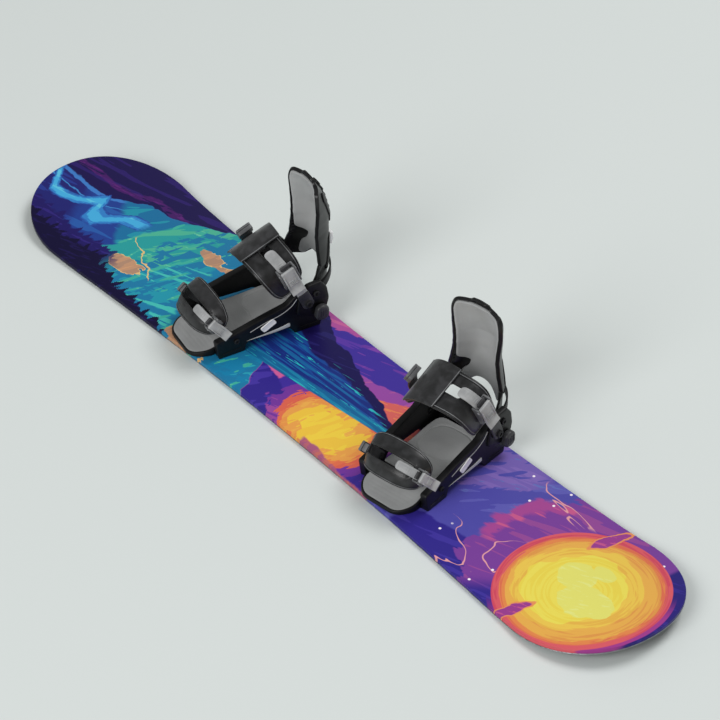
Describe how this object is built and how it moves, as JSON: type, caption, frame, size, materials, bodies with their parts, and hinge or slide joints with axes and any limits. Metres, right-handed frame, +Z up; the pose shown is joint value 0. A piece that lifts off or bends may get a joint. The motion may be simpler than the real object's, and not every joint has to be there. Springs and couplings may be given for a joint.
{
  "type": "snowboard with bindings",
  "caption": "Twin-shaped snowboard with turned-up nose and tail, carrying a pair of strap bindings with folding highbacks, ratchet straps and swivelling baseplates.",
  "frame": {"origin": "centre of the flat running base, midway between nose and tail, on the surface the board lies on", "axes": "+X along the board towards the tail, +Y towards the heel edge, +Z up"},
  "size_m": [1.55, 0.3113, 0.277],
  "materials": {
    "topsheet": "printed landscape under clear gloss",
    "sidewall": "black, satin",
    "core": "laminated strips, hidden",
    "base": "black, waxed",
    "edge": "ground steel",
    "black_plastic": "satin black moulding",
    "strap": "charcoal synthetic leather over foam",
    "grey_foam": "mid-grey foam, matte",
    "light_grey": "light grey nylon, satin",
    "dark_grey": "dark grey nylon, satin",
    "white": "white, satin gloss"
  },
  "bodies": {
    "board": {"topsheet": "topsheet", "board_core": "core", "board_base": "base", "sidewall": "sidewall", "steel_edge": "edge", "front_disc": "black_plastic", "rear_disc": "black_plastic"},
    "front_frame": {"front_chassis": "black_plastic", "front_footbed": "grey_foam", "front_toe_ramp": "grey_foam", "front_heel_hoop": "black_plastic", "front_badge_near": "white", "front_badge_far": "white", "front_highback_pin_near": "black_plastic", "front_highback_pin_far": "black_plastic", "front_ankle_bolt_near": "black_plastic", "front_ankle_bolt_far": "black_plastic", "front_toe_bolt_near": "black_plastic", "front_toe_bolt_far": "black_plastic"},
    "front_highback": {"front_highback_shell": "black_plastic", "front_highback_pad": "grey_foam"},
    "front_lean_block": {"front_lean_adjuster": "light_grey"},
    "front_ankle_strap": {"front_ankle_pad": "strap", "front_ankle_band": "strap", "front_ankle_far_strap": "strap", "front_ankle_ladder": "light_grey", "front_ankle_buckle": "dark_grey"},
    "front_ankle_crank": {"front_ankle_lever": "light_grey"},
    "front_toe_cap": {"front_toe_strap": "strap", "front_toe_ladder": "light_grey", "front_toe_buckle": "dark_grey"},
    "front_toe_crank": {"front_toe_lever": "light_grey"},
    "front_lock_knob": {"front_heel_knob": "dark_grey"},
    "rear_frame": {"rear_chassis": "black_plastic", "rear_footbed": "grey_foam", "rear_toe_ramp": "grey_foam", "rear_heel_hoop": "black_plastic", "rear_badge_near": "white", "rear_badge_far": "white", "rear_highback_pin_near": "black_plastic", "rear_highback_pin_far": "black_plastic", "rear_ankle_bolt_near": "black_plastic", "rear_ankle_bolt_far": "black_plastic", "rear_toe_bolt_near": "black_plastic", "rear_toe_bolt_far": "black_plastic"},
    "rear_highback": {"rear_highback_shell": "black_plastic", "rear_highback_pad": "grey_foam"},
    "rear_lean_block": {"rear_lean_adjuster": "light_grey"},
    "rear_ankle_strap": {"rear_ankle_pad": "strap", "rear_ankle_band": "strap", "rear_ankle_far_strap": "strap", "rear_ankle_ladder": "light_grey", "rear_ankle_buckle": "dark_grey"},
    "rear_ankle_crank": {"rear_ankle_lever": "light_grey"},
    "rear_toe_cap": {"rear_toe_strap": "strap", "rear_toe_ladder": "light_grey", "rear_toe_buckle": "dark_grey"},
    "rear_toe_crank": {"rear_toe_lever": "light_grey"},
    "rear_lock_knob": {"rear_heel_knob": "dark_grey"}
  },
  "joints": [
    {"name": "front_stance_turn", "type": "hinge", "parent": "board", "child": "front_frame", "pos_m": [-0.2415, 0, 0.009], "axis": [0, 0, 1], "range_deg": [-20, 10]},
    {"name": "front_highback_fold", "type": "hinge", "parent": "front_frame", "child": "front_highback", "pos_m": [-0.225, 0.09356, 0.083], "axis": [0.9848, -0.1736, 0], "range_deg": [0, 18]},
    {"name": "front_lean_slide", "type": "slide", "parent": "front_highback", "child": "front_lean_block", "axis": [0, 0, 1], "range_m": [0, 0.008]},
    {"name": "front_ankle_swing", "type": "hinge", "parent": "front_frame", "child": "front_ankle_strap", "pos_m": [-0.22795, 0.07681, 0.071], "axis": [0.9848, -0.1736, 0], "range_deg": [-8, 10]},
    {"name": "front_ankle_crank_lift", "type": "hinge", "parent": "front_ankle_strap", "child": "front_ankle_crank", "pos_m": [-0.15691, 0.0248, 0.15256], "axis": [-0.161, -0.9131, -0.3746], "range_deg": [0, 80], "stiffness_Nm_per_rad": 0.05, "springref_deg": -17.19},
    {"name": "front_toe_swing", "type": "hinge", "parent": "front_frame", "child": "front_toe_cap", "pos_m": [-0.25122, -0.05515, 0.036], "axis": [-0.9848, 0.1736, 0], "range_deg": [0, 25]},
    {"name": "front_toe_crank_lift", "type": "hinge", "parent": "front_toe_cap", "child": "front_toe_crank", "pos_m": [-0.19481, -0.10691, 0.08415], "axis": [-0.132, -0.7484, -0.65], "range_deg": [0, 70], "stiffness_Nm_per_rad": 0.05, "springref_deg": -17.19},
    {"name": "front_knob_turn", "type": "hinge", "parent": "front_frame", "child": "front_lock_knob", "pos_m": [-0.145, 0.08656, 0.045], "axis": [0.9848, -0.1736, 0], "range_deg": [0, 90]},
    {"name": "rear_stance_turn", "type": "hinge", "parent": "board", "child": "rear_frame", "pos_m": [0.2415, 0, 0.009], "axis": [0, 0, 1], "range_deg": [-10, 20]},
    {"name": "rear_highback_fold", "type": "hinge", "parent": "rear_frame", "child": "rear_highback", "pos_m": [0.225, 0.09356, 0.083], "axis": [0.9848, 0.1736, 0], "range_deg": [0, 18]},
    {"name": "rear_lean_slide", "type": "slide", "parent": "rear_highback", "child": "rear_lean_block", "axis": [0, 0, 1], "range_m": [0, 0.008]},
    {"name": "rear_ankle_swing", "type": "hinge", "parent": "rear_frame", "child": "rear_ankle_strap", "pos_m": [0.22795, 0.07681, 0.071], "axis": [0.9848, 0.1736, 0], "range_deg": [-8, 10]},
    {"name": "rear_ankle_crank_lift", "type": "hinge", "parent": "rear_ankle_strap", "child": "rear_ankle_crank", "pos_m": [0.31251, 0.05224, 0.15256], "axis": [0.161, -0.9131, -0.3746], "range_deg": [0, 80], "stiffness_Nm_per_rad": 0.05, "springref_deg": -17.19},
    {"name": "rear_toe_swing", "type": "hinge", "parent": "rear_frame", "child": "rear_toe_cap", "pos_m": [0.25122, -0.05515, 0.036], "axis": [-0.9848, -0.1736, 0], "range_deg": [0, 25]},
    {"name": "rear_toe_crank_lift", "type": "hinge", "parent": "rear_toe_cap", "child": "rear_toe_crank", "pos_m": [0.32194, -0.0845, 0.08415], "axis": [0.132, -0.7484, -0.65], "range_deg": [0, 70], "stiffness_Nm_per_rad": 0.05, "springref_deg": -17.19},
    {"name": "rear_knob_turn", "type": "hinge", "parent": "rear_frame", "child": "rear_lock_knob", "pos_m": [0.30257, 0.11434, 0.045], "axis": [0.9848, 0.1736, 0], "range_deg": [0, 90]}
  ]
}
